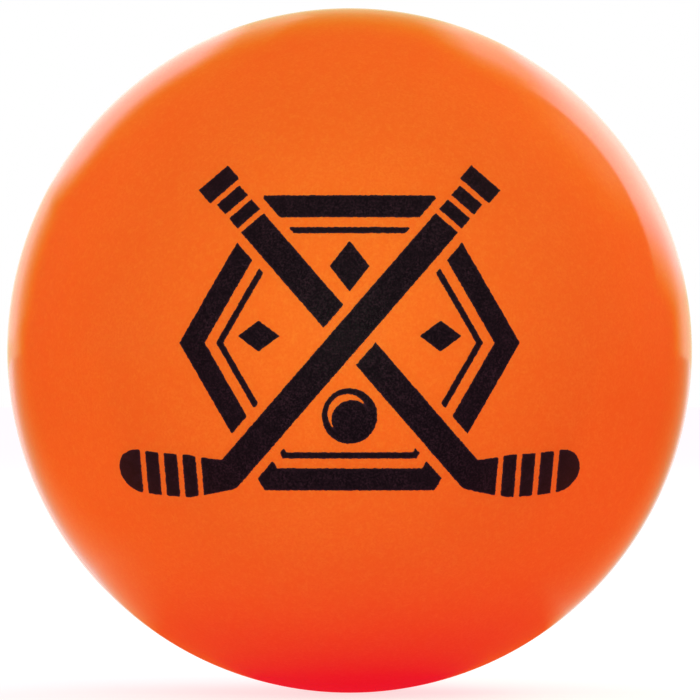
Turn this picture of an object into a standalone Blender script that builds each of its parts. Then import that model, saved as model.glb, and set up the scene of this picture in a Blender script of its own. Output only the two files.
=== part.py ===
"""Street hockey ball: two welded half shells, a filling port with its plug, and a loose liquid charge.

Metres, +Z up. The origin is the ball's centre. The shells are turned about the Y axis: the printed half
faces -Y and the half with the filling port faces +Y. The liquid lies at the bottom and is free to roll
round the Y axis.
"""

import math

import bpy

# Shell: two half spheres of flexible PVC
BALL_DIAMETER = 0.065
WALL = 0.0030

# Seam at the equator: a tongue on the front half, a groove in the rear half, adhesive in the groove
SEAM_GAP = 0.0003
SEAM_CHAMFER = 0.00015
TONGUE_WIDTH = 0.0010
TONGUE_HEIGHT = 0.0012
TONGUE_CHAMFER = 0.0002
ADHESIVE_THICKNESS = 0.0006

# Filling port at the rear pole: a stepped hole through the wall and a boss inside it
PORT_DIAMETER = 0.0040
PORT_SEAT_DIAMETER = 0.0080
PORT_SEAT_DEPTH = 0.0013
BOSS_DIAMETER = 0.0096
BOSS_HEIGHT = 0.0022
BOSS_FILLET = 0.0010

# Plug: a flush head on the port's seat, a shank in its bore and a barb behind the boss
PLUG_CLEARANCE = 0.0003
PLUG_EDGE_ROUND = 0.0003
BARB_OVERHANG = 0.0006
BARB_LENGTH = 0.0016
PLUG_TIP_DIAMETER = 0.0022

# Liquid: a pool in the bottom of the cavity, drawn up a little where it meets the wall
LIQUID_DEPTH = 0.0162
LIQUID_CLEARANCE = 0.0003
MENISCUS_RISE = 0.0010
MENISCUS_REACH = 0.0018

# Finishes: name, linear colour, roughness and transmission
PVC_FINISH = ("orange_pvc", (0.93, 0.178, 0.016), 0.30, 0.0)
PLUG_FINISH = ("orange_plug_pvc", (0.92, 0.162, 0.014), 0.34, 0.0)
ADHESIVE_FINISH = ("clear_amber_adhesive", (0.80, 0.55, 0.22), 0.25, 0.0)
LIQUID_FINISH = ("clear_liquid", (0.93, 0.97, 0.98), 0.02, 1.0)

# Facets
SHELL_STEPS = 64
PLUG_STEPS = 32
LIQUID_STEPS = 48
OUTER_RINGS = 16
INNER_RINGS = 12
SEAT_RINGS = 3
FILLET_RINGS = 3
LIQUID_RINGS = 9
MERGE_DISTANCE = 0.00001

# Radii and places that follow from the sizes above, measured along the turning axis from the centre
OUTER_RADIUS = BALL_DIAMETER / 2
CAVITY_RADIUS = OUTER_RADIUS - WALL
TONGUE_RADIUS = OUTER_RADIUS - WALL / 2
HALF_GAP = SEAM_GAP / 2
TONGUE_CREST = TONGUE_HEIGHT - HALF_GAP
ADHESIVE_NEAR = TONGUE_CREST + SEAM_GAP
ADHESIVE_FAR = ADHESIVE_NEAR + ADHESIVE_THICKNESS
GROOVE_FLOOR = ADHESIVE_FAR + SEAM_GAP
GROOVE_WIDTH = TONGUE_WIDTH + 2 * SEAM_GAP
SEAT_FLOOR = OUTER_RADIUS - PORT_SEAT_DEPTH
BOSS_FACE = CAVITY_RADIUS - BOSS_HEIGHT

# Turns an object's own +Z towards the front (-Y) or the rear (+Y)
FACING_FRONT = (math.pi / 2, 0.0, 0.0)
FACING_REAR = (-math.pi / 2, 0.0, 0.0)
UPRIGHT = (0.0, 0.0, 0.0)


def clear_scene():
    for obj in list(bpy.data.objects):
        bpy.data.objects.remove(obj)


def plain_material(name, colour, roughness, transmission):
    material = bpy.data.materials.new(name)
    material.use_nodes = True
    shader = material.node_tree.nodes["Principled BSDF"]
    shader.inputs["Base Color"].default_value = (*colour, 1.0)
    shader.inputs["Roughness"].default_value = roughness
    shader.inputs["Metallic"].default_value = 0.0
    shader.inputs["Transmission Weight"].default_value = transmission
    material.diffuse_color = (*colour, 1.0)
    return material


def arc(centre, radius, start, end, rings):
    """Points of a circle in the profile plane, angles in radians from the +X axis."""
    cx, cz = centre
    angles = [start + (end - start) * i / rings for i in range(rings + 1)]
    return [(cx + radius * math.cos(a), cz + radius * math.sin(a)) for a in angles]


def height_on(radius, x):
    """Height along the turning axis of a sphere's surface at the distance x from that axis."""
    return math.sqrt(radius**2 - x**2)


def sphere_arc(radius, start, end, rings):
    """An arc of a sphere about the ball's centre, between two (x, z) points on it."""
    return arc((0.0, 0.0), radius, math.atan2(start[1], start[0]), math.atan2(end[1], end[0]), rings)


def turned(name, profile, closed, steps, facing, material, centre):
    """A solid turned about the object's own Z axis from (x, z) points, which run down its outer side."""
    mesh = bpy.data.meshes.new(name)
    count = len(profile)
    last = count if closed else count - 1
    edges = [(i, (i + 1) % count) for i in range(last)]
    mesh.from_pydata([(x, 0.0, z) for x, z in profile], edges, [])
    mesh.materials.append(material)
    obj = bpy.data.objects.new(name, mesh)
    bpy.context.scene.collection.objects.link(obj)
    screw = obj.modifiers.new("turn", "SCREW")
    screw.steps = steps
    screw.render_steps = steps
    screw.use_merge_vertices = True
    screw.merge_threshold = MERGE_DISTANCE
    screw.use_smooth_shade = True
    obj.rotation_euler = facing
    obj.parent = centre
    return obj


def outer_rim():
    """Outer edge of a half shell at the parting face: the wall's surface, then a small chamfer."""
    chamfer_start = HALF_GAP + SEAM_CHAMFER
    wall_end = (height_on(OUTER_RADIUS, chamfer_start), chamfer_start)
    return wall_end, (wall_end[0] - SEAM_CHAMFER, HALF_GAP)


def inner_rim():
    return height_on(CAVITY_RADIUS, HALF_GAP), HALF_GAP


def front_profile():
    """Pole of the printed half, down the outside, across the parting face and tongue, and up the inside."""
    wall_end, chamfer_end = outer_rim()
    tongue_out = TONGUE_RADIUS + TONGUE_WIDTH / 2
    tongue_in = TONGUE_RADIUS - TONGUE_WIDTH / 2
    crest, shoulder = -TONGUE_CREST, TONGUE_CHAMFER - TONGUE_CREST
    outside = sphere_arc(OUTER_RADIUS, (0.0, OUTER_RADIUS), wall_end, OUTER_RINGS)
    tongue = [
        (tongue_out, HALF_GAP),
        (tongue_out, shoulder),
        (tongue_out - TONGUE_CHAMFER, crest),
        (tongue_in + TONGUE_CHAMFER, crest),
        (tongue_in, shoulder),
        (tongue_in, HALF_GAP),
    ]
    inside = sphere_arc(CAVITY_RADIUS, inner_rim(), (0.0, CAVITY_RADIUS), INNER_RINGS)
    return outside + [chamfer_end] + tongue + inside


def rear_profile():
    """Seat of the port, down the outside, across the parting face and groove, up the inside and the boss."""
    wall_end, chamfer_end = outer_rim()
    groove_out = TONGUE_RADIUS + GROOVE_WIDTH / 2
    groove_in = TONGUE_RADIUS - GROOVE_WIDTH / 2
    seat = PORT_SEAT_DIAMETER / 2
    port = PORT_DIAMETER / 2
    boss = BOSS_DIAMETER / 2
    seat_edge = (seat, height_on(OUTER_RADIUS, seat))
    outside = sphere_arc(OUTER_RADIUS, seat_edge, wall_end, OUTER_RINGS)
    groove = [
        (groove_out, HALF_GAP),
        (groove_out, GROOVE_FLOOR),
        (groove_in, GROOVE_FLOOR),
        (groove_in, HALF_GAP),
    ]
    # The fillet is tangent to the boss's side and to the cavity wall
    fillet_x = boss + BOSS_FILLET
    fillet_centre = (fillet_x, height_on(CAVITY_RADIUS - BOSS_FILLET, fillet_x))
    wall_angle = math.atan2(fillet_centre[1], fillet_centre[0])
    fillet = arc(fillet_centre, BOSS_FILLET, wall_angle, math.pi, FILLET_RINGS)
    inside = sphere_arc(CAVITY_RADIUS, inner_rim(), fillet[0], INNER_RINGS)
    bore = [(boss, BOSS_FACE), (port, BOSS_FACE), (port, SEAT_FLOOR), (seat, SEAT_FLOOR)]
    return outside + [chamfer_end] + groove + inside + fillet[1:] + bore


def adhesive_profile():
    half_width = TONGUE_WIDTH / 2
    inner, outer = TONGUE_RADIUS - half_width, TONGUE_RADIUS + half_width
    return [
        (outer, ADHESIVE_FAR),
        (outer, ADHESIVE_NEAR),
        (inner, ADHESIVE_NEAR),
        (inner, ADHESIVE_FAR),
    ]


def plug_profile():
    """Flush head, shank and barb of the plug, from the outer pole to its inner tip."""
    head = PORT_SEAT_DIAMETER / 2 - PLUG_CLEARANCE
    shank = PORT_DIAMETER / 2 - PLUG_CLEARANCE
    barb = PORT_DIAMETER / 2 + BARB_OVERHANG
    under_head = SEAT_FLOOR + PLUG_CLEARANCE
    barb_face = BOSS_FACE - PLUG_CLEARANCE
    tip = barb_face - BARB_LENGTH
    dome_end = head - PLUG_EDGE_ROUND
    dome = sphere_arc(
        OUTER_RADIUS, (0.0, OUTER_RADIUS), (dome_end, height_on(OUTER_RADIUS, dome_end)), SEAT_RINGS
    )
    edge_centre = (dome_end, dome[-1][1] - PLUG_EDGE_ROUND)
    edge = arc(edge_centre, PLUG_EDGE_ROUND, math.pi / 2, 0.0, FILLET_RINGS)
    body = [
        (head, under_head),
        (shank, under_head),
        (shank, barb_face),
        (barb, barb_face),
        (PLUG_TIP_DIAMETER / 2, tip),
        (0.0, tip),
    ]
    return dome + edge[1:] + body


def liquid_profile():
    """The pool: its surface from the middle to the meniscus, then down the cavity wall to the bottom."""
    radius = CAVITY_RADIUS - LIQUID_CLEARANCE
    level = LIQUID_DEPTH - radius
    rise_top = level + MENISCUS_RISE
    rim = (height_on(radius, rise_top), rise_top)
    start_x = rim[0] - MENISCUS_REACH
    quarter = [math.pi / 2 * (1 - i / FILLET_RINGS) for i in range(FILLET_RINGS + 1)]
    meniscus = [
        (start_x + MENISCUS_REACH * math.cos(a), rise_top - MENISCUS_RISE * math.sin(a)) for a in quarter
    ]
    bowl = sphere_arc(radius, rim, (0.0, -radius), LIQUID_RINGS)
    return [(0.0, level)] + meniscus[:-1] + bowl


def build_ball():
    clear_scene()
    centre = bpy.data.objects.new("ball_centre", None)
    bpy.context.scene.collection.objects.link(centre)
    pvc = plain_material(*PVC_FINISH)
    plug_pvc = plain_material(*PLUG_FINISH)
    adhesive = plain_material(*ADHESIVE_FINISH)
    liquid = plain_material(*LIQUID_FINISH)
    turned("shell_front", front_profile(), False, SHELL_STEPS, FACING_FRONT, pvc, centre)
    turned("shell_rear", rear_profile(), True, SHELL_STEPS, FACING_REAR, pvc, centre)
    turned("seam_adhesive", adhesive_profile(), True, SHELL_STEPS, FACING_REAR, adhesive, centre)
    turned("fill_plug", plug_profile(), False, PLUG_STEPS, FACING_REAR, plug_pvc, centre)
    turned("liquid_charge", liquid_profile(), False, LIQUID_STEPS, UPRIGHT, liquid, centre)


build_ball()
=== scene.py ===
"""Looks of a street hockey ball: its PVC skins, plug, liquid and printed emblem, and the studio round it.

Metres, +Z up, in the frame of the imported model: the ball's centre is the origin, the printed face looks
towards -Y, and the filling plug is at the +Y pole.
"""

import math
from functools import cached_property

import bpy
import numpy as np
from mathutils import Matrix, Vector


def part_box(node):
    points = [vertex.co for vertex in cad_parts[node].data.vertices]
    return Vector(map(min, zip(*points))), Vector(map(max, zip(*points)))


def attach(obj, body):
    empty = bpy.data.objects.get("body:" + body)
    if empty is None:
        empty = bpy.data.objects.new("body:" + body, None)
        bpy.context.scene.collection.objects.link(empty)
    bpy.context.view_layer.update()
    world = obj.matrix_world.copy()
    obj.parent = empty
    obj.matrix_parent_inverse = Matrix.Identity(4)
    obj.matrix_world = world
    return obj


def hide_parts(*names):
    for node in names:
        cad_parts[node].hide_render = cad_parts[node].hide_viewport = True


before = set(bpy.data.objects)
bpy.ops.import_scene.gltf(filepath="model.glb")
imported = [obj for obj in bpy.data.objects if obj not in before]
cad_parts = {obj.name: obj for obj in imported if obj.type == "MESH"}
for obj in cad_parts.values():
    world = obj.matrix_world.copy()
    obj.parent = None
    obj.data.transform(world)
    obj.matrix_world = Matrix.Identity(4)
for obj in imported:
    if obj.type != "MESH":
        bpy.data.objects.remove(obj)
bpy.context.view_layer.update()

MM = 0.001


def node_points(node):
    return np.array([v.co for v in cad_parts[node].data.vertices])


# Sizes read from the frame
SHELL_RADII = np.linalg.norm(node_points("shell_front"), axis=1)
BALL_RADIUS = float(np.max(SHELL_RADII))
CAVITY_RADIUS = float(np.min(SHELL_RADII))
TONGUE_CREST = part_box("shell_front")[1].y
TONGUE_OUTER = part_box("seam_adhesive")[1].x
TONGUE_INNER = float(np.min(np.hypot(*node_points("seam_adhesive").T[[0, 2]])))
ADHESIVE_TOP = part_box("seam_adhesive")[1].y
PLUG_HEAD_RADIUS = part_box("fill_plug")[1].x
PLUG_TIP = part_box("fill_plug")[0].y
LIQUID_RADIUS = float(np.max(np.linalg.norm(node_points("liquid_charge"), axis=1)))
LIQUID_RISE_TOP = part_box("liquid_charge")[1].z

# Sizes of the joints, repeated from the construction
CLEARANCE = 0.3 * MM
PORT_SEAT_DEPTH = 1.3 * MM
PORT_RADIUS = 2.0 * MM
BOSS_RADIUS = 4.8 * MM
BOSS_HEIGHT = 2.2 * MM
BOSS_FILLET = 1.0 * MM
BARB_RADIUS = 2.6 * MM
BARB_LENGTH = 1.6 * MM
PLUG_TIP_RADIUS = 1.1 * MM
MENISCUS_RISE = 1.0 * MM
MENISCUS_REACH = 1.8 * MM

# Fine surface: the seam and the plug close up to hairlines with softened edges
HAIRLINE = 0.002 * MM
SEAM_ROUND = 0.12 * MM
PLUG_HAIRLINE = 0.06 * MM
PLUG_EDGE_ROUND = 0.15 * MM
SKIN_STEPS = 256
SKIN_RINGS = 72
CAVITY_RINGS = 36
PLUG_STEPS = 96
PLUG_DOME_RINGS = 12
LIQUID_STEPS = 128
LIQUID_SURFACE_RINGS = 12
MENISCUS_POINTS = 15
ROUND_RINGS = 5
SKIN_SHARP_DEGREES = 35

# Colours, linear
PVC_ORANGE = (0.95, 0.153, 0.0146)
PVC_DEEP = (0.93, 0.130, 0.0118)
PVC_PALE = (0.96, 0.180, 0.0185)
INK_BLACK = (0.0078, 0.0014, 0.0040)
INK_THIN = (0.046, 0.0100, 0.0200)
AMBER = (0.80, 0.52, 0.20)
AMBER_DEEP = (0.60, 0.33, 0.09)
LIQUID_PALE = (0.92, 0.97, 0.98)
LIQUID_DEEP = (0.86, 0.95, 0.97)
WHITE = (1.0, 1.0, 1.0)

# Noise in the materials: size in millimetres, detail, roughness, and a shift that sets it apart
PVC_DRIFT = (9.0, 3.0, 0.55, 0.0)
PVC_CLOUD = (1.6, 3.0, 0.60, 17.0)
PVC_MOTTLE = (0.55, 2.0, 0.60, 73.0)
PVC_GRAIN = (0.22, 2.0, 0.60, 41.0)
INK_DENSITY = (1.1, 4.0, 0.65, 5.0)
INK_GRAIN = (0.17, 2.0, 0.60, 41.0)
ADHESIVE_FLOW = (2.5, 4.0, 0.60, 0.0)
LIQUID_RIPPLE = (6.0, 2.0, 0.50, 0.0)

# The part of each noise that shows, from none to full, and how strongly it shows
PVC_DRIFT_RANGE = (0.30, 0.70)
PVC_CLOUD_RANGE = (0.30, 0.72)
PVC_CLOUD_SHARE = 0.35
PVC_MOTTLE_RANGE = (0.42, 0.68)
PVC_MOTTLE_SHARE = 0.75
PVC_GRAIN_RANGE = (0.40, 0.65)
PVC_GRAIN_SHARE = 0.95
INK_DENSITY_RANGE = (0.40, 0.75)
INK_DENSITY_SHARES = (0.35, 1.0)
INK_SPECK_RANGE = (0.44, 0.66)
INK_EDGE_SHARE = 0.9
ADHESIVE_FLOW_RANGE = (0.35, 0.65)

# Roughness over a noise's range, and bumps as depth in millimetres and strength
PVC_GLOSS_RANGE = (0.3, 1.1)
PVC_GLOSS_CLOUD_SHARE = 0.5
PVC_ROUGHNESS = (0.07, 0.11)
ROUGHNESS_RANGE = (0.3, 0.7)
INK_ROUGHNESS = (0.42, 0.56)
ADHESIVE_ROUGHNESS = (0.18, 0.32)
LIQUID_ROUGHNESS = (0.01, 0.03)
PVC_BUMP = (0.005, 0.35)
INK_BUMP = (0.010, 0.35)
ADHESIVE_BUMP = (0.05, 0.5)
LIQUID_BUMP = (0.2, 0.3)

# Photograph: the ball's outline in its 700-pixel frame
FRAME_PIXELS = 700
BALL_PIXEL_RADIUS = 342.3
BALL_PIXEL_CENTRE = (349.6, 350.5)
CAMERA_DISTANCE = 0.60
CAMERA_CLIP_START = 0.01
SENSOR_WIDTH = 36.0


class Graph:
    """The node tree of a material or a world, with short calls that add nodes and link them."""

    def __init__(self, owner):
        owner.use_nodes = True
        self.owner = owner
        self.tree = owner.node_tree
        self.shader = self.tree.nodes.get("Principled BSDF")

    def put(self, node, inputs):
        for key, value in inputs.items():
            if isinstance(value, bpy.types.NodeSocket):
                self.tree.links.new(value, node.inputs[key])
            else:
                node.inputs[key].default_value = value
        return node

    def add(self, kind, inputs=None, **settings):
        node = self.tree.nodes.new(kind)
        for key, value in settings.items():
            setattr(node, key, value)
        return self.put(node, inputs or {})

    def shade(self, **inputs):
        """Sets the shader's sockets, given by name with underscores for spaces."""
        self.put(self.shader, {key.replace("_", " "): value for key, value in inputs.items()})

    def maths(self, operation, first, second=0.0):
        return self.add("ShaderNodeMath", {0: first, 1: second}, operation=operation).outputs[0]

    def vector_maths(self, operation, *vectors, result="Vector"):
        node = self.add("ShaderNodeVectorMath", dict(enumerate(vectors)), operation=operation)
        return node.outputs[result]

    @cached_property
    def millimetres(self):
        place = self.add("ShaderNodeTexCoord").outputs["Object"]
        return self.vector_maths("MULTIPLY", place, (1 / MM,) * 3)

    def noise(self, size, detail, rough, shift):
        """Noise whose features are about size millimetres across."""
        place = self.vector_maths("ADD", self.millimetres, (shift,) * 3)
        node = self.add(
            "ShaderNodeTexNoise",
            {"Vector": place, "Scale": 1 / size, "Detail": detail, "Roughness": rough},
        )
        return node.outputs["Fac"]

    def remap(self, value, low, high, new_low=0.0, new_high=1.0, curve="LINEAR"):
        node = self.add(
            "ShaderNodeMapRange",
            {"Value": value, 1: low, 2: high, 3: new_low, 4: new_high},
            interpolation_type=curve,
        )
        return node.outputs["Result"]

    def blend(self, amount, first, second, mode="MIX"):
        node = self.add("ShaderNodeMix", data_type="RGBA", blend_type=mode)
        values = {0: amount, 6: first, 7: second}
        self.put(node, {k: (*v, 1.0) if isinstance(v, tuple) else v for k, v in values.items()})
        return node.outputs[2]

    def bump(self, height, depth, strength):
        """A bump whose full height is depth millimetres."""
        node = self.add(
            "ShaderNodeBump", {"Height": height, "Distance": depth * MM, "Strength": strength}
        )
        return node.outputs["Normal"]

    def mix_shader(self, amount, first, second):
        return self.add("ShaderNodeMixShader", {0: amount, 1: first, 2: second}).outputs[0]


def pvc_material(name, base, deep, pale):
    """Satin moulded PVC: slow drifts of colour, soft mottling and a fine grain."""
    graph = Graph(bpy.data.materials.new(name))
    drift = graph.remap(graph.noise(*PVC_DRIFT), *PVC_DRIFT_RANGE)
    cloud = graph.remap(graph.noise(*PVC_CLOUD), *PVC_CLOUD_RANGE)
    mottle = graph.noise(*PVC_MOTTLE)
    grain = graph.noise(*PVC_GRAIN)
    colour = graph.blend(drift, deep, base)
    colour = graph.blend(graph.maths("MULTIPLY", cloud, PVC_CLOUD_SHARE), colour, pale)
    colour = graph.blend(graph.remap(mottle, *PVC_MOTTLE_RANGE, 0.0, PVC_MOTTLE_SHARE), colour, pale)
    colour = graph.blend(graph.remap(grain, *PVC_GRAIN_RANGE, 0.0, PVC_GRAIN_SHARE), colour, deep)
    gloss = graph.maths("ADD", grain, graph.maths("MULTIPLY", cloud, PVC_GLOSS_CLOUD_SHARE))
    graph.shade(
        Base_Color=colour,
        Roughness=graph.remap(gloss, *PVC_GLOSS_RANGE, *PVC_ROUGHNESS),
        IOR=1.5,
        Subsurface_Weight=0.25,
        Subsurface_Radius=(1.0, 0.30, 0.10),
        Subsurface_Scale=1.6 * MM,
        Normal=graph.bump(grain, *PVC_BUMP),
    )
    return graph.owner


def ink_material():
    """Pad-printed ink: near black, with fine specks where it lies thin and a thinner film at its edges."""
    graph = Graph(bpy.data.materials.new("black_print_ink"))
    density = graph.remap(graph.noise(*INK_DENSITY), *INK_DENSITY_RANGE, *INK_DENSITY_SHARES)
    grain = graph.noise(*INK_GRAIN)
    specks = graph.maths("MULTIPLY", density, graph.remap(grain, *INK_SPECK_RANGE))
    depth = graph.add("ShaderNodeAttribute", attribute_name=INK_DEPTH).outputs["Fac"]
    thin = graph.maths("MAXIMUM", specks, graph.remap(depth, 0.0, 1.0, INK_EDGE_SHARE, 0.0))
    graph.shade(
        Base_Color=graph.blend(thin, INK_BLACK, INK_THIN),
        Roughness=graph.remap(grain, *ROUGHNESS_RANGE, *INK_ROUGHNESS),
        IOR=1.45,
        Normal=graph.bump(grain, *INK_BUMP),
    )
    return graph.owner


def adhesive_material():
    """Clear amber adhesive with slow streaks from its flow."""
    graph = Graph(bpy.data.materials.new("amber_adhesive"))
    flow = graph.noise(*ADHESIVE_FLOW)
    graph.shade(
        Base_Color=graph.blend(graph.remap(flow, *ADHESIVE_FLOW_RANGE), AMBER, AMBER_DEEP),
        Roughness=graph.remap(flow, *ROUGHNESS_RANGE, *ADHESIVE_ROUGHNESS),
        Transmission_Weight=0.4,
        IOR=1.5,
        Normal=graph.bump(flow, *ADHESIVE_BUMP),
    )
    return graph.owner


def liquid_material():
    """Clear watery liquid with a faint ripple."""
    graph = Graph(bpy.data.materials.new("clear_liquid"))
    ripple = graph.noise(*LIQUID_RIPPLE)
    graph.shade(
        Base_Color=graph.blend(ripple, LIQUID_PALE, LIQUID_DEEP),
        Roughness=graph.remap(ripple, *ROUGHNESS_RANGE, *LIQUID_ROUGHNESS),
        Transmission_Weight=1.0,
        IOR=1.37,
        Normal=graph.bump(ripple, *LIQUID_BUMP),
    )
    return graph.owner


def link(name, mesh, material):
    mesh.materials.append(material)
    obj = bpy.data.objects.new(name, mesh)
    bpy.context.scene.collection.objects.link(obj)
    return obj


def smooth(mesh, sharp_degrees):
    mesh.shade_smooth()
    mesh.set_sharp_from_angle(angle=math.radians(sharp_degrees))


def arc(centre, radius, start, end, rings):
    """Points (across, along) of a circle, angles in radians from the across axis."""
    turns = np.linspace(start, end, rings + 1)
    return [(centre[0] + radius * math.cos(a), centre[1] + radius * math.sin(a)) for a in turns]


def height_on(radius, across):
    return math.sqrt(radius**2 - across**2)


def sphere_arc(radius, start, end, rings):
    return arc((0.0, 0.0), radius, math.atan2(start[1], start[0]), math.atan2(end[1], end[0]), rings)


def turned(name, profile, closed, steps, axis, material):
    """A solid turned about an axis through the centre.

    profile is (across, along) points with the outside on the left, and along follows axis, which is "-Y",
    "+Y" or "+Z". A closed profile is a ring that clears the axis, and an open one starts and ends on it.
    """
    place = {
        "+Z": lambda x, y, z: (x, y, z),
        "-Y": lambda x, y, z: (x, -z, y),
        "+Y": lambda x, y, z: (x, z, -y),
    }[axis]
    ring_starts, points = [], []
    for across, along in profile:
        ring_starts.append(len(points))
        for turn in range(steps if across > 0.0 else 1):
            angle = 2 * math.pi * turn / steps
            points.append(place(across * math.cos(angle), across * math.sin(angle), along))

    def corners(ring, turns):
        on_axis = profile[ring][0] <= 0.0
        return [ring_starts[ring] + turn for turn in ((0,) if on_axis else turns)]

    faces = []
    count = len(profile)
    for upper in range(count if closed else count - 1):
        lower = (upper + 1) % count
        for turn in range(steps):
            after = (turn + 1) % steps
            faces.append(corners(upper, (after, turn)) + corners(lower, (turn, after)))
    mesh = bpy.data.meshes.new(name)
    mesh.from_pydata(points, [], faces)
    smooth(mesh, SKIN_SHARP_DEGREES)
    return link(name, mesh, material)


def seam_edge():
    """Outer edge of a half at the seam: a small round down to the parting face."""
    level = HAIRLINE + SEAM_ROUND
    centre = (height_on(BALL_RADIUS, level) - SEAM_ROUND, level)
    return arc(centre, SEAM_ROUND, 0.0, -math.pi / 2, ROUND_RINGS)


def front_skin(material):
    """The printed half: outside, seam edge, tongue and inside."""
    edge = seam_edge()
    pole, inner_pole = (0.0, BALL_RADIUS), (0.0, CAVITY_RADIUS)
    outside = sphere_arc(BALL_RADIUS, pole, edge[0], SKIN_RINGS)
    tongue = [
        (TONGUE_OUTER, HAIRLINE),
        (TONGUE_OUTER, -TONGUE_CREST),
        (TONGUE_INNER, -TONGUE_CREST),
        (TONGUE_INNER, HAIRLINE),
    ]
    rim = (height_on(CAVITY_RADIUS, HAIRLINE), HAIRLINE)
    inside = sphere_arc(CAVITY_RADIUS, rim, inner_pole, CAVITY_RINGS)
    profile = [pole] + outside[1:] + edge[1:] + tongue + inside[:-1] + [inner_pole]
    return turned("shell_front_skin", profile, False, SKIN_STEPS, "-Y", material)


def rear_skin(material):
    """The half with the filling port: port edge, outside, seam edge, groove, inside and boss."""
    edge = seam_edge()
    seat = PLUG_HEAD_RADIUS + CLEARANCE
    seat_floor = BALL_RADIUS - PORT_SEAT_DEPTH
    lip_x = seat + PLUG_EDGE_ROUND
    lip_centre = (lip_x, height_on(BALL_RADIUS, lip_x) - PLUG_EDGE_ROUND)
    lip = arc(lip_centre, PLUG_EDGE_ROUND, math.pi, math.pi / 2, ROUND_RINGS)
    outside = sphere_arc(BALL_RADIUS, lip[-1], edge[0], SKIN_RINGS)
    groove_floor = ADHESIVE_TOP + CLEARANCE
    groove = [
        (TONGUE_OUTER + CLEARANCE, HAIRLINE),
        (TONGUE_OUTER + CLEARANCE, groove_floor),
        (TONGUE_INNER - CLEARANCE, groove_floor),
        (TONGUE_INNER - CLEARANCE, HAIRLINE),
    ]
    fillet_x = BOSS_RADIUS + BOSS_FILLET
    fillet_centre = (fillet_x, height_on(CAVITY_RADIUS - BOSS_FILLET, fillet_x))
    fillet_start = math.atan2(fillet_centre[1], fillet_x)
    fillet = arc(fillet_centre, BOSS_FILLET, fillet_start, math.pi, ROUND_RINGS)
    rim = (height_on(CAVITY_RADIUS, HAIRLINE), HAIRLINE)
    inside = sphere_arc(CAVITY_RADIUS, rim, fillet[0], CAVITY_RINGS)
    boss_face = CAVITY_RADIUS - BOSS_HEIGHT
    bore = [
        (BOSS_RADIUS, boss_face),
        (PORT_RADIUS, boss_face),
        (PORT_RADIUS, seat_floor),
        (seat, seat_floor),
    ]
    profile = lip[:-1] + outside + edge[1:] + groove + inside + fillet[1:] + bore
    return turned("shell_rear_skin", profile, True, SKIN_STEPS, "+Y", material)


def plug_skin(material):
    """The plug, its head closed up to a hairline in the port's seat."""
    head = PLUG_HEAD_RADIUS + CLEARANCE - PLUG_HAIRLINE
    pole = (0.0, BALL_RADIUS)
    dome_x = head - PLUG_EDGE_ROUND
    dome_end = (dome_x, height_on(BALL_RADIUS, dome_x))
    dome = sphere_arc(BALL_RADIUS, pole, dome_end, PLUG_DOME_RINGS)
    edge_centre = (dome_x, dome[-1][1] - PLUG_EDGE_ROUND)
    edge = arc(edge_centre, PLUG_EDGE_ROUND, math.pi / 2, 0.0, ROUND_RINGS)
    under_head = BALL_RADIUS - PORT_SEAT_DEPTH + CLEARANCE
    shank = PORT_RADIUS - CLEARANCE
    body = [
        (head, under_head),
        (shank, under_head),
        (shank, PLUG_TIP + BARB_LENGTH),
        (BARB_RADIUS, PLUG_TIP + BARB_LENGTH),
        (PLUG_TIP_RADIUS, PLUG_TIP),
        (0.0, PLUG_TIP),
    ]
    profile = [pole] + dome[1:] + edge[1:] + body
    return turned("fill_plug_skin", profile, False, PLUG_STEPS, "+Y", material)


def liquid_pool(material):
    """The liquid, with a meniscus where it meets the cavity wall."""
    level = LIQUID_RISE_TOP - MENISCUS_RISE
    rim = (height_on(LIQUID_RADIUS, LIQUID_RISE_TOP), LIQUID_RISE_TOP)
    foot = rim[0] - MENISCUS_REACH
    surface = [(foot * k / LIQUID_SURFACE_RINGS, level) for k in range(LIQUID_SURFACE_RINGS)]
    meniscus = [
        (foot + MENISCUS_REACH * math.cos(a), LIQUID_RISE_TOP - MENISCUS_RISE * math.sin(a))
        for a in np.linspace(math.pi / 2, 0.0, MENISCUS_POINTS)
    ]
    lowest = (0.0, -LIQUID_RADIUS)
    bowl = sphere_arc(LIQUID_RADIUS, rim, lowest, CAVITY_RINGS)
    profile = surface + meniscus[:-1] + bowl[:-1] + [lowest]
    return turned("liquid_pool", profile, False, LIQUID_STEPS, "+Z", material)


# Emblem: crossed sticks and a ball over a six-sided frame, seen from the front with u to the right and v up
EMBLEM_RISE = 0.7 * MM
EMBLEM_REACH = (22.0 * MM, 17.5 * MM)
HEXAGON_RADIUS = 15.4 * MM
HEXAGON_STROKE = 2.0 * MM
PINSTRIPE_INSET = 2.9 * MM
PINSTRIPE_STROKE = 0.55 * MM
STICK_HEEL = (-11.0 * MM, -12.0 * MM)
STICK_BUTT = (12.4 * MM, 15.0 * MM)
STICK_TOE = (-19.0 * MM, -12.6 * MM)
SHAFT_HALF_WIDTH = 1.35 * MM
KNOB_HALF_WIDTH = 1.75 * MM
KNOB_LENGTH = 1.6 * MM
BLADE_HALF_WIDTH = 1.95 * MM
BLADE_BOW = 0.9 * MM
BLADE_BOW_END_SHARE = 1.2
BLADE_SPREAD_SHARE = 0.45
KNOCKOUT_GAP = 0.85 * MM
TAPE_GAP = 0.5 * MM
TAPE_PITCH = 1.7 * MM
GRIP_TAPE_START = 5.25 * MM
GRIP_TAPE_COUNT = 3
BLADE_TAPE_START = 2.6 * MM
BLADE_TAPE_COUNT = 4
BALL_MARK_HEIGHT = -6.6 * MM
BALL_MARK_RADIUS = 2.5 * MM
BALL_SHINE_RADIUS = 1.8 * MM
BALL_SHINE_STEP = 0.36 * MM
TOP_LOZENGE = (0.0, 6.9 * MM, 1.8 * MM, 2.3 * MM)
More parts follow.
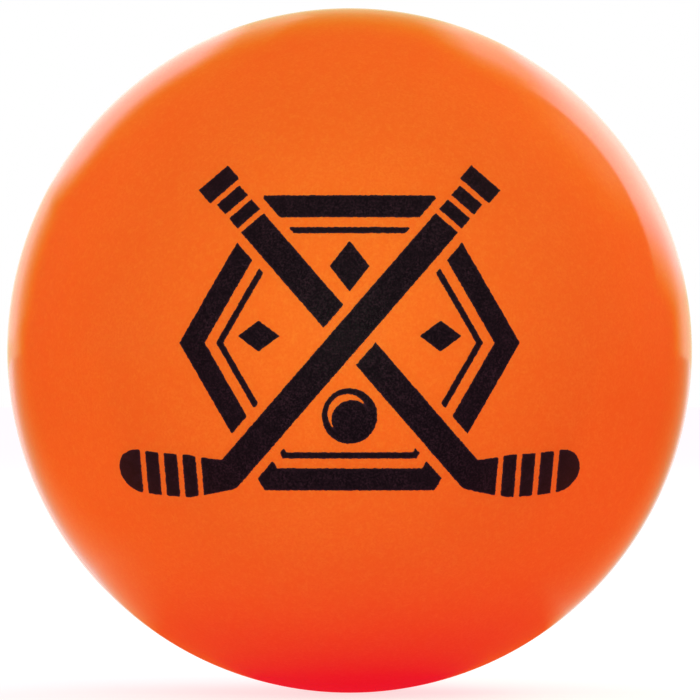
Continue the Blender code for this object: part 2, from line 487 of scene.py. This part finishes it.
SIDE_LOZENGE = (8.2 * MM, 0.6 * MM, 1.9 * MM, 1.4 * MM)

# Ink film
INK_HEIGHT = 0.025 * MM
INK_GRID = 0.105 * MM
INK_GRID_MARGIN = 0.04
INK_EDGE_WANDER = 0.045 * MM
INK_EDGE_CELL = 0.13 * MM
INK_EDGE_SEED = 3
INK_EDGE_LATTICE = 512
INK_THIN_REACH = 0.16 * MM
INK_SHARP_DEGREES = 40
INK_DEPTH = "ink_depth"


def stroke(distance, inset, width):
    """A line of the given width that starts inset from an outline."""
    return np.maximum(distance + inset, -(distance + inset + width))


def hexagon(u, v):
    flat = HEXAGON_RADIUS * math.sqrt(3) / 2
    return np.maximum(np.abs(v), (np.abs(u) * math.sqrt(3) + np.abs(v)) / 2) - flat


def disc(u, v, centre, radius):
    return np.hypot(u - centre[0], v - centre[1]) - radius


def lozenge(u, v, centre_u, centre_v, half_width, half_height):
    reach = np.abs(u - centre_u) / half_width + np.abs(v - centre_v) / half_height
    return (reach - 1) * min(half_width, half_height)


def along_line(u, v, start, end):
    """Place along and away from the line between two points, and the line's length."""
    length = math.dist(start, end)
    du, dv = (end[0] - start[0]) / length, (end[1] - start[1]) / length
    along = (u - start[0]) * du + (v - start[1]) * dv
    away = (v - start[1]) * du - (u - start[0]) * dv
    return along, away, length


def bar(along, away, start, end, half_width):
    """A straight bar along a line."""
    return np.maximum(np.abs(away) - half_width, np.maximum(start - along, along - end))


def bands(along, first, count):
    """A row of bands across a line."""
    middles = [first + k * TAPE_PITCH for k in range(count)]
    return np.min([np.abs(along - middle) for middle in middles], axis=0) - TAPE_GAP / 2


def stick(u, v):
    """A stick that leans right, with its blade at the lower left: its outline and the tape lines on it."""
    along, away, length = along_line(u, v, STICK_HEEL, STICK_BUTT)
    shaft = bar(along, away, 0.0, length, SHAFT_HALF_WIDTH)
    knob = bar(along, away, length - KNOB_LENGTH, length, KNOB_HALF_WIDTH)
    grip_tape = np.maximum(bands(along, length - GRIP_TAPE_START, GRIP_TAPE_COUNT), -along)
    along, away, length = along_line(u, v, STICK_HEEL, STICK_TOE)
    share = np.clip(along / length, 0.0, BLADE_BOW_END_SHARE)
    spread = np.clip(share / BLADE_SPREAD_SHARE, 0.0, 1.0)
    half_width = SHAFT_HALF_WIDTH + (BLADE_HALF_WIDTH - SHAFT_HALF_WIDTH) * spread
    beyond = along - np.clip(along, 0.0, length)
    blade = np.hypot(beyond, away + BLADE_BOW * share**2) - half_width
    blade_tape = bands(along, BLADE_TAPE_START, BLADE_TAPE_COUNT)
    return np.minimum(np.minimum(shaft, knob), blade), np.minimum(grip_tape, blade_tape)


def emblem(u, v):
    """Distance from the emblem's edges, below zero where there is ink."""
    over, over_tape = stick(u, v)
    under, under_tape = stick(-u, v)
    edge = hexagon(u, v)
    pinstripe = stroke(edge, PINSTRIPE_INSET, PINSTRIPE_STROKE)
    border = np.minimum(stroke(edge, 0.0, HEXAGON_STROKE), pinstripe)
    border = np.maximum(border, KNOCKOUT_GAP - np.minimum(over, under))
    ball = disc(u, v, (0.0, BALL_MARK_HEIGHT), BALL_MARK_RADIUS)
    shine = np.maximum(
        disc(u, v, (-BALL_SHINE_STEP / 2, BALL_MARK_HEIGHT + BALL_SHINE_STEP / 2), BALL_SHINE_RADIUS),
        -disc(u, v, (BALL_SHINE_STEP / 2, BALL_MARK_HEIGHT - BALL_SHINE_STEP), BALL_SHINE_RADIUS),
    )
    shapes = [
        np.maximum(over, -over_tape),
        np.maximum(np.maximum(under, -under_tape), KNOCKOUT_GAP - over),
        border,
        np.maximum(ball, -shine),
        lozenge(u, v, *TOP_LOZENGE),
        lozenge(np.abs(u), v, *SIDE_LOZENGE),
    ]
    return np.min(shapes, axis=0)


def edge_noise(u, v):
    """Smooth noise from 0 to 1 with a new value every cell."""
    lattice = np.random.default_rng(INK_EDGE_SEED).random((INK_EDGE_LATTICE, INK_EDGE_LATTICE))
    grid_u, grid_v = (t / INK_EDGE_CELL + INK_EDGE_LATTICE // 2 for t in (u, v))
    i, j = np.floor(grid_u).astype(int), np.floor(grid_v).astype(int)
    share_u, share_v = (t * t * (3 - 2 * t) for t in (grid_u - i, grid_v - j))
    low = lattice[i, j] * (1 - share_u) + lattice[i + 1, j] * share_u
    high = lattice[i, j + 1] * (1 - share_u) + lattice[i + 1, j + 1] * share_u
    return low * (1 - share_v) + high * share_v


def ink_field(u, v):
    """The emblem with the finely ragged edges that a printing pad leaves."""
    return emblem(u, v) + 2 * INK_EDGE_WANDER * (edge_noise(u, v) - 0.5)


def contour_faces(field):
    """Faces over a grid where the field is below zero, clipped along its edge. Points are in grid steps."""
    inside = field < 0
    points, index, faces = [], {}, []

    def point(first, second):
        low, high = sorted((first, second))
        if (low, high) not in index:
            index[low, high] = len(points)
            share = 0.0
            if low != high:
                share = field[low] / (field[low] - field[high])
                share = min(max(share, INK_GRID_MARGIN), 1 - INK_GRID_MARGIN)
            points.append([a + share * (b - a) for a, b in zip(low, high)])
        return index[low, high]

    touched = inside[:-1, :-1] | inside[1:, :-1] | inside[:-1, 1:] | inside[1:, 1:]
    for i, j in np.argwhere(touched).tolist():
        corners = [(i, j), (i + 1, j), (i + 1, j + 1), (i, j + 1)]
        face = []
        for first, second in zip(corners, corners[1:] + corners[:1]):
            if inside[first]:
                face.append(point(first, first))
            if inside[first] != inside[second]:
                face.append(point(first, second))
        faces.append(face)
    return np.array(points), faces


def printed_emblem(material):
    """The emblem as a closed film of ink on the ball's front."""
    half_u, half_v = EMBLEM_REACH
    u_line = np.arange(-half_u, half_u, INK_GRID)
    v_line = np.arange(-half_v, half_v, INK_GRID)
    u, v = np.meshgrid(u_line, v_line, indexing="ij")
    points, faces = contour_faces(ink_field(u, v))
    x = points[:, 0] * INK_GRID - half_u
    z = points[:, 1] * INK_GRID - half_v + EMBLEM_RISE
    outward = np.stack([x, -np.sqrt(BALL_RADIUS**2 - x**2 - z**2), z], axis=1) / BALL_RADIUS
    top, bottom = outward * (BALL_RADIUS + INK_HEIGHT), outward * (BALL_RADIUS - INK_HEIGHT)
    count = len(points)
    sides = {(a, b) for face in faces for a, b in zip(face, face[1:] + face[:1])}
    walls = [(b, a, a + count, b + count) for a, b in sides if (b, a) not in sides]
    floor = [[k + count for k in reversed(face)] for face in faces]
    mesh = bpy.data.meshes.new("printed_emblem")
    mesh.from_pydata(np.concatenate([top, bottom]).tolist(), [], faces + floor + sorted(walls))
    from_edge = np.clip(-emblem(x, z - EMBLEM_RISE) / INK_THIN_REACH, 0.0, 1.0)
    depth = mesh.attributes.new(INK_DEPTH, "FLOAT", "POINT")
    depth.data.foreach_set("value", np.tile(from_edge, 2).astype(np.float32))
    smooth(mesh, INK_SHARP_DEGREES)
    return link("printed_emblem", mesh, material)


def dress_ball():
    pvc = pvc_material("orange_pvc", PVC_ORANGE, PVC_DEEP, PVC_PALE)
    plug_pvc = pvc_material("orange_plug_pvc", PVC_DEEP, PVC_DEEP, PVC_ORANGE)
    pieces = [
        (front_skin(pvc), "ball", "shell_front", "orange_pvc"),
        (rear_skin(pvc), "ball", "shell_rear", "orange_pvc"),
        (plug_skin(plug_pvc), "ball", "fill_plug", "plug_pvc"),
        (liquid_pool(liquid_material()), "liquid", "liquid_charge", "liquid"),
    ]
    for piece, body, node, slot in pieces:
        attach(piece, body)
        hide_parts(node)
    emblem_film = printed_emblem(ink_material())
    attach(emblem_film, "ball")
    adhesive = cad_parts["seam_adhesive"]
    adhesive.data.materials.clear()
    adhesive.data.materials.append(adhesive_material())


# Studio: a white floor, and an even light from all round
FLOOR_SIZE = 6.0
FLOOR_WHITE = (0.93, 0.93, 0.93)
FLOOR_GLOW = 1.14
FLOOR_SHADOW_SHARE = 0.40
WORLD_LIGHT = (0.945, 0.76, 0.87)

# Light that the floor throws up: under the ball, round it and further out, with the edges in millimetres.
# It holds less green than red, which deepens the orange
FLOOR_UNDER = (0.90, 0.02, 0.93)
FLOOR_ROUND = (0.97, 0.67, 0.83)
FLOOR_OUTER = (0.86, 0.20, 0.56)
FLOOR_UNDER_EDGE = (23.0, 35.0)
FLOOR_ROUND_EDGE = (48.0, 80.0)

# Lamps: name, place, width, height, brightness of the face and colour. The world already brings the ball's
# red close to its limit, so the lamps that light its front hold little red
FILL_TINT = (0.25, 1.0, 0.46)
FRONT_TINT = (0.10, 1.0, 0.30)
LAMPS = [
    ("front_fill", (0.0, -0.0725, 0.006), 0.025, 0.025, 6.2, FILL_TINT),
    ("left_low", (-0.85, -0.20, 0.02), 0.40, 0.10, 12.0, FRONT_TINT),
    ("right_front", (0.65, -0.35, 0.55), 0.40, 0.40, 1.5, FRONT_TINT),
    ("right_high", (0.60, 0.10, 0.62), 0.40, 0.40, 1.8, FRONT_TINT),
    ("right_rim", (0.49, 0.58, 0.49), 0.50, 0.50, 3.0, WHITE),
    ("left_rim", (-0.45, 0.64, 0.45), 0.50, 0.50, 1.2, WHITE),
    ("right_side", (0.75, 0.55, 0.14), 0.40, 0.30, 2.5, WHITE),
    ("left_side", (-0.75, 0.55, 0.14), 0.40, 0.30, 4.0, WHITE),
]

# What the glossy skin mirrors is painted: a dark surround in front that is painted warmer behind the ball,
# with a painted glow of a backdrop, painted panels and a painted bright floor
MIRROR_DARK = (0.02, 0.02, 0.02)
PAINTED_WARM_REFLECTION = (0.50, 0.065, 0.015)
MIRROR_WARM_EDGE = (-0.10, 0.35)
MIRROR_BLUE_CAP = 0.90

# Painted reflection of a backdrop's glow, brightest straight behind the ball: where it fades outwards and
# towards the top, as sines, and where all of the painted backdrop ends beside the ball, as cosines
BACKDROP_REFLECTION_BRIGHTNESS = 0.88
BACKDROP_REFLECTION_WARMTH = 0.25
BACKDROP_FADE = (0.43, 0.735)
BACKDROP_SQUEEZE = 1.28
BACKDROP_TOP_SHARE = 0.78
BACKDROP_TOP_EDGE = (0.10, 0.30)
BACKDROP_END = (0.0, 0.3)

# Painted panel reflections: turn round the view in degrees, brightness, outer edge and side edges as sines.
# They narrow towards the middle, and their limit of brightness falls close to straight behind the ball
PAINTED_PANEL_REFLECTIONS = [
    (37.0, 1.55, (0.69, 0.715), (0.10, 0.36)),
    (40.0, 0.60, (0.80, 1.02), (0.08, 0.30)),
    (58.0, 0.95, (0.64, 0.86), (0.10, 0.24)),
    (90.0, 0.56, (0.42, 0.82), (0.12, 0.45)),
    (114.0, 0.80, (0.43, 0.85), (0.11, 0.20)),
    (127.0, 0.30, (0.72, 0.96), (0.12, 0.34)),
    (131.0, 1.22, (0.58, 0.76), (0.13, 0.27)),
    (165.0, 1.02, (0.44, 0.74), (0.09, 0.17)),
]
PANEL_TAPER = 0.40
PANEL_TIP = 0.001
PANEL_LIMIT = (1.60, 1.22)
PANEL_LIMIT_EDGE = (0.908, 0.963)

# Painted reflection of a lit floor to the left and right: side, reach aside in millimetres, lean, gain, and
# where it starts. Between them the painted floor is lit from further behind the ball
PAINTED_FLOOR_REFLECTIONS = [
    (-1.0, 63.0, 0.92, 0.56, (19.5, 38.0)),
    (1.0, 57.2, 0.80, 0.35, (21.8, 27.2)),
]
PAINTED_REAR_REFLECTION = (35.0, 60.0)
MIRRORED_NEAREST = 1.0
FLOOR_REFLECTION_WARMTH = 0.0

# Painted reflection of red and orange light on the floor next to the ball: at the contact and round it,
# with the edges in millimetres
PAINTED_CONTACT_RED = (0.85, 0.015, 0.03)
PAINTED_CONTACT_ORANGE = (0.88, 0.13, 0.02)
CONTACT_RED_EDGE = (9.0, 15.0)
CONTACT_ORANGE_EDGE = (60.0, 150.0)
CONTACT_FRONT_EDGE = (-30.0, -18.0)


def painted_reflection_tint(graph, level, warmth):
    """Colour of a painted reflection at the given level, white where it is bright and warmer where it fades.
    """
    share = graph.remap(level, warmth, warmth + MIRROR_BLUE_CAP, 0.0, MIRROR_BLUE_CAP)
    blue = graph.maths("MULTIPLY", level, share)
    return graph.add("ShaderNodeCombineColor", {0: level, 1: level, 2: blue}).outputs[0]


def painted_floor_reflection(graph, away):
    """Painted reflection of the floor: dark in front, bright behind, and painted orange next to the ball."""
    place = graph.add("ShaderNodeSeparateXYZ", {0: graph.millimetres}).outputs
    total = 0.0
    between = 1.0
    for side, reach, lean, gain, start in PAINTED_FLOOR_REFLECTIONS:
        aside = graph.maths("MULTIPLY", place["X"], side)
        behind = graph.maths("ADD", place["Y"], lean * reach)
        depth = graph.maths("DIVIDE", behind, graph.maths("MAXIMUM", aside, MIRRORED_NEAREST))
        share = graph.remap(aside, *start)
        level = graph.remap(depth, lean, lean + 1 / gain)
        total = graph.maths("ADD", total, graph.maths("MULTIPLY", level, share))
        between = graph.maths("SUBTRACT", between, share)
    rear = graph.maths("MULTIPLY", between, graph.remap(place["Y"], *PAINTED_REAR_REFLECTION))
    lit = painted_reflection_tint(graph, graph.maths("ADD", total, rear), FLOOR_REFLECTION_WARMTH)
    # Painted red and orange reflection at the contact and round the ball
    glow = graph.blend(graph.remap(away, *CONTACT_RED_EDGE), PAINTED_CONTACT_RED, PAINTED_CONTACT_ORANGE)
    glow = graph.blend(graph.remap(away, *CONTACT_ORANGE_EDGE), glow, PAINTED_WARM_REFLECTION)
    glow = graph.blend(graph.remap(place["Y"], *CONTACT_FRONT_EDGE), MIRROR_DARK, glow)
    return graph.blend(1.0, glow, lit, "LIGHTEN")


def floor_material():
    """White with a shadow to the camera, a painted reflection to glossy rays, and tinted light to the rest.
    """
    graph = Graph(bpy.data.materials.new("studio_floor"))
    graph.tree.nodes.remove(graph.shader)
    flat = graph.vector_maths("MULTIPLY", graph.millimetres, (1.0, 1.0, 0.0))
    away = graph.vector_maths("LENGTH", flat, result="Value")
    lit = graph.add("ShaderNodeBsdfDiffuse", {"Color": (*FLOOR_WHITE, 1.0)}).outputs[0]
    white = graph.add("ShaderNodeEmission", {"Strength": FLOOR_GLOW}).outputs[0]
    seen = graph.mix_shader(FLOOR_SHADOW_SHARE, white, lit)
    colour = graph.blend(graph.remap(away, *FLOOR_UNDER_EDGE), FLOOR_UNDER, FLOOR_ROUND)
    colour = graph.blend(graph.remap(away, *FLOOR_ROUND_EDGE), colour, FLOOR_OUTER)
    bounce = graph.add("ShaderNodeEmission", {"Color": colour}).outputs[0]
    mirrored = graph.add("ShaderNodeEmission", {"Color": painted_floor_reflection(graph, away)}).outputs[0]
    ray = graph.add("ShaderNodeLightPath").outputs
    surface = graph.mix_shader(ray["Is Glossy Ray"], bounce, mirrored)
    surface = graph.mix_shader(ray["Is Camera Ray"], surface, seen)
    graph.put(graph.tree.nodes["Material Output"], {"Surface": surface})
    graph.owner.cycles.emission_sampling = "NONE"
    return graph.owner


def studio_floor():
    half = FLOOR_SIZE / 2
    corners = [(-half, -half), (half, -half), (half, half), (-half, half)]
    mesh = bpy.data.meshes.new("studio_floor")
    mesh.from_pydata([(x, y, -BALL_RADIUS) for x, y in corners], [], [(0, 1, 2, 3)])
    link("studio_floor", mesh, floor_material())


def painted_backdrop_reflection(graph, direction):
    """Painted reflection: a glow behind the ball with painted panels above and to both sides."""

    def towards(*axis):
        return graph.vector_maths("DOT_PRODUCT", direction, axis, result="Value")

    aside = graph.vector_maths("MULTIPLY", direction, (1.0, 0.0, BACKDROP_SQUEEZE))
    distance = graph.vector_maths("LENGTH", aside, result="Value")
    glow = graph.remap(distance, *BACKDROP_FADE, BACKDROP_REFLECTION_BRIGHTNESS, 0.0, "SMOOTHSTEP")
    top = graph.remap(towards(0.0, 0.0, 1.0), *BACKDROP_TOP_EDGE, 1.0, BACKDROP_TOP_SHARE)
    glow = graph.maths("MULTIPLY", glow, top)
    for turn, brightness, outer, sides in PAINTED_PANEL_REFLECTIONS:
        across, up = math.cos(math.radians(turn)), math.sin(math.radians(turn))
        out = towards(across, 0.0, up)
        taper = graph.remap(out, 0.0, PANEL_TAPER, PANEL_TIP, 1.0)
        off = graph.maths("DIVIDE", graph.maths("ABSOLUTE", towards(-up, 0.0, across)), taper)
        lengthwise = graph.remap(out, *outer, brightness, 0.0)
        panel = graph.maths("MULTIPLY", lengthwise, graph.remap(off, *sides, 1.0, 0.0))
        glow = graph.maths("MAXIMUM", glow, panel)
    back = towards(0.0, 1.0, 0.0)
    glow = graph.maths("MINIMUM", glow, graph.remap(back, *PANEL_LIMIT_EDGE, *PANEL_LIMIT))
    glow = graph.maths("MULTIPLY", glow, graph.remap(back, *BACKDROP_END))
    light = painted_reflection_tint(graph, glow, BACKDROP_REFLECTION_WARMTH)
    # Painted dark surround, painted warmer straight behind the ball
    dark_reflection = graph.blend(graph.remap(back, *MIRROR_WARM_EDGE), MIRROR_DARK, PAINTED_WARM_REFLECTION)
    return graph.blend(1.0, dark_reflection, light, "LIGHTEN")


def studio_world():
    """White to the camera and through clear pieces, an even tent of light, and painted reflections."""
    world = bpy.data.worlds.new("studio")
    bpy.context.scene.world = world
    graph = Graph(world)
    mirrored = painted_backdrop_reflection(graph, graph.add("ShaderNodeTexCoord").outputs["Generated"])
    ray = graph.add("ShaderNodeLightPath").outputs
    clear = graph.maths("MAXIMUM", ray["Is Camera Ray"], ray["Is Transmission Ray"])
    colour = graph.blend(ray["Is Glossy Ray"], WORLD_LIGHT, mirrored)
    colour = graph.blend(clear, colour, WHITE)
    graph.put(graph.tree.nodes["Background"], {"Color": colour})


def softbox(name, place, width, height, radiance, colour):
    """A rectangular lamp that faces the ball, lights it and isn't mirrored in it."""
    lamp = bpy.data.lights.new(name, "AREA")
    lamp.shape = "RECTANGLE"
    lamp.size = width
    lamp.size_y = height
    lamp.energy = radiance * math.pi * width * height
    lamp.color = colour
    obj = bpy.data.objects.new(name, lamp)
    bpy.context.scene.collection.objects.link(obj)
    obj.location = place
    obj.rotation_euler = (-Vector(place)).to_track_quat("-Z", "Y").to_euler()
    obj.visible_camera = False
    obj.visible_glossy = False


def studio_lights():
    for lamp in LAMPS:
        softbox(*lamp)


def studio_camera():
    """A long lens level with the ball, set so that the ball's outline falls where the photograph has it."""
    lens_pixels = BALL_PIXEL_RADIUS * height_on(CAMERA_DISTANCE, BALL_RADIUS) / BALL_RADIUS
    camera = bpy.data.cameras.new("studio_camera")
    camera.sensor_width = SENSOR_WIDTH
    camera.lens = lens_pixels / FRAME_PIXELS * SENSOR_WIDTH
    camera.shift_x = 0.5 - BALL_PIXEL_CENTRE[0] / FRAME_PIXELS
    camera.shift_y = BALL_PIXEL_CENTRE[1] / FRAME_PIXELS - 0.5
    camera.clip_start = CAMERA_CLIP_START
    obj = bpy.data.objects.new("studio_camera", camera)
    bpy.context.scene.collection.objects.link(obj)
    obj.location = (0.0, -CAMERA_DISTANCE, 0.0)
    obj.rotation_euler = (math.pi / 2, 0.0, 0.0)
    bpy.context.scene.camera = obj


dress_ball()
studio_floor()
studio_world()
studio_lights()
studio_camera()
bpy.context.scene.view_settings.view_transform = "Standard"
